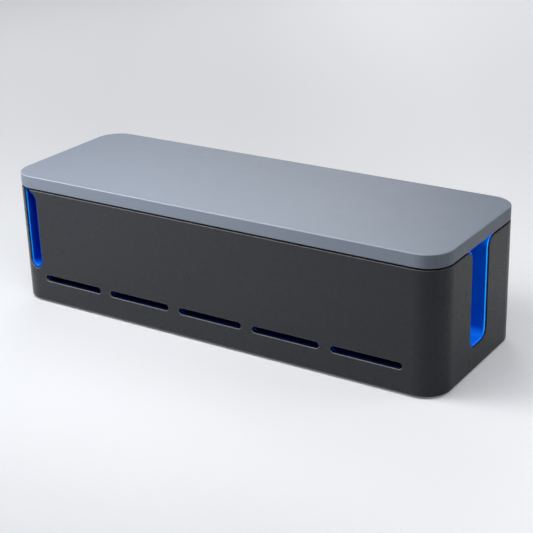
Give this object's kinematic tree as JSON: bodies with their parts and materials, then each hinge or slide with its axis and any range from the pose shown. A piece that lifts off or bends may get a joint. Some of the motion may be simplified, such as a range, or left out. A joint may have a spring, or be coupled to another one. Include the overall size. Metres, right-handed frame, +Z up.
{
  "type": "cable management box",
  "caption": "Long desk box that hides a power strip and its cords: dark vented shell, blue liner, cable slots lined with blue guides, and a grey lift-off lid.",
  "frame": {"origin": "middle of the footprint at the height of the table", "axes": "+X along the box towards the end with the cable slot, -Y towards the vented front, +Z up"},
  "size_m": [0.4, 0.137, 0.113],
  "materials": {
    "shell_plastic": "fine matte moulded texture",
    "liner_plastic": "smooth satin",
    "guide_plastic": "satin gloss",
    "lid_plastic": "fine matte moulded texture",
    "frame_plastic": "matte",
    "screw_steel": "zinc plated",
    "foot_rubber": "matte"
  },
  "bodies": {
    "box": {"outer_shell": "shell_plastic", "inner_tub": "liner_plastic", "end_cable_guide": "guide_plastic", "front_cable_guide": "guide_plastic", "tub_screws": "screw_steel", "foot_front_left": "foot_rubber", "foot_front_right": "foot_rubber", "foot_rear_left": "foot_rubber", "foot_rear_right": "foot_rubber"},
    "lid": {"lid_cover": "lid_plastic", "lid_frame": "frame_plastic", "lid_screws": "screw_steel"}
  },
  "joints": [
    {"name": "lid_lift", "type": "slide", "parent": "box", "child": "lid", "axis": [0, 0, 1], "range_m": [0, 0.08]}
  ]
}
